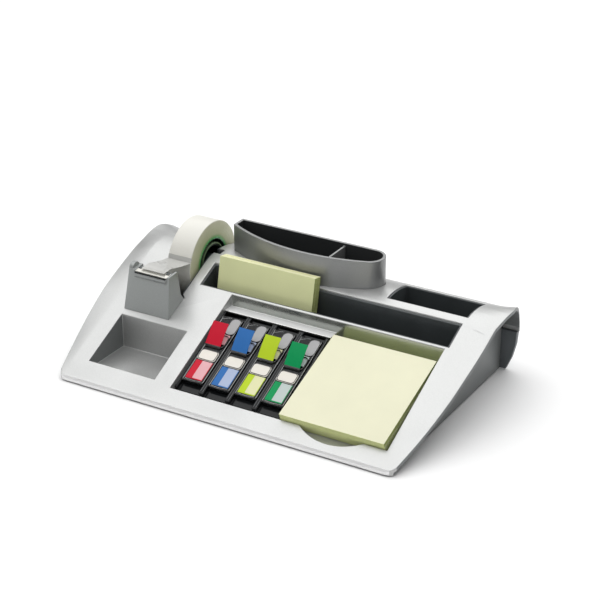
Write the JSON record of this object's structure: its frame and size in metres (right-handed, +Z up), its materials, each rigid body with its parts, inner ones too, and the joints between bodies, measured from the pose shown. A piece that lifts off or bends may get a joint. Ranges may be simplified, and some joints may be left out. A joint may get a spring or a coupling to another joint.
{
  "type": "tape dispenser",
  "caption": "Sloped silver desk organiser with a built-in tape dispenser and cutter, pen cup, note tray, clip tray, trough, card slot and lift-out flag dispensers.",
  "frame": {"origin": "on the table, under the middle of the body", "axes": "+X to the user's right along the front edge, +Y from the front edge to the back, +Z up"},
  "size_m": [0.2868, 0.1724, 0.0802],
  "materials": {
    "silver_shell": "silver-grey moulded plastic with a fine satin metallic finish",
    "dark_base": "dark grey moulded plastic, fine grain",
    "dark_liner": "near black moulded plastic",
    "cup_grey": "mid grey satin metallic plastic",
    "black_insert": "black semi-gloss vacuum-formed insert",
    "tower_grey": "mid grey satin metallic plastic",
    "blade_steel": "bright cut steel",
    "ballast_steel": "plain steel plate",
    "foot_rubber": "soft black rubber",
    "screw_steel": "zinc plated",
    "hub_black": "black-green moulded plastic",
    "core_green": "dark green moulded plastic",
    "tape_film": "translucent matte film, wound",
    "note_paper": "pale yellow paper sheets",
    "note_paper_green": "green-yellow paper sheets",
    "clear_plastic": "clear moulded plastic",
    "flag_red": "printed film",
    "flag_blue": "printed film",
    "flag_lime": "printed film",
    "flag_green": "printed film"
  },
  "bodies": {
    "housing": {"deck_shell": "silver_shell", "base_housing": "dark_base", "trough_liner": "dark_liner", "card_liner": "dark_liner", "tape_well": "dark_liner", "pen_cup": "cup_grey", "index_insert": "black_insert", "cutter_tower": "tower_grey", "cutter_blade": "blade_steel", "ballast_plate": "ballast_steel", "rubber_feet": "foot_rubber", "base_screws": "screw_steel", "tower_screws": "screw_steel"},
    "tape_axle": {"hub_axle": "hub_black", "tape_tail": "tape_film"},
    "tape_wheel": {"tape_hub": "hub_black", "tape_core": "core_green", "tape_roll": "tape_film"},
    "note_pad": {"note_pad": "note_paper"},
    "note_block": {"note_block": "note_paper_green"},
    "dispenser_red": {"flag_case_red": "clear_plastic", "flag_cover_red": "clear_plastic", "flags_red": "flag_red"},
    "dispenser_blue": {"flag_case_blue": "clear_plastic", "flag_cover_blue": "clear_plastic", "flags_blue": "flag_blue"},
    "dispenser_lime": {"flag_case_lime": "clear_plastic", "flag_cover_lime": "clear_plastic", "flags_lime": "flag_lime"},
    "dispenser_green": {"flag_case_green": "clear_plastic", "flag_cover_green": "clear_plastic", "flags_green": "flag_green"}
  },
  "joints": [
    {"name": "roll_lift", "type": "slide", "parent": "housing", "child": "tape_axle", "axis": [0, 0, 1], "range_m": [0, 0.07]},
    {"name": "tape_spin", "type": "hinge", "parent": "tape_axle", "child": "tape_wheel", "pos_m": [-0.092, 0.03845, 0.0504], "axis": [1, 0, 0], "continuous": true},
    {"name": "pad_lift", "type": "slide", "parent": "housing", "child": "note_pad", "axis": [0, -0.342, 0.9397], "range_m": [0, 0.03]},
    {"name": "block_lift", "type": "slide", "parent": "housing", "child": "note_block", "axis": [0, 0, 1], "range_m": [0, 0.06]},
    {"name": "dispenser_red_lift", "type": "slide", "parent": "housing", "child": "dispenser_red", "axis": [0, -0.4274, 0.9041], "range_m": [0, 0.03]},
    {"name": "dispenser_blue_lift", "type": "slide", "parent": "housing", "child": "dispenser_blue", "axis": [0, -0.4274, 0.9041], "range_m": [0, 0.03]},
    {"name": "dispenser_lime_lift", "type": "slide", "parent": "housing", "child": "dispenser_lime", "axis": [0, -0.4274, 0.9041], "range_m": [0, 0.03]},
    {"name": "dispenser_green_lift", "type": "slide", "parent": "housing", "child": "dispenser_green", "axis": [0, -0.4274, 0.9041], "range_m": [0, 0.03]}
  ]
}
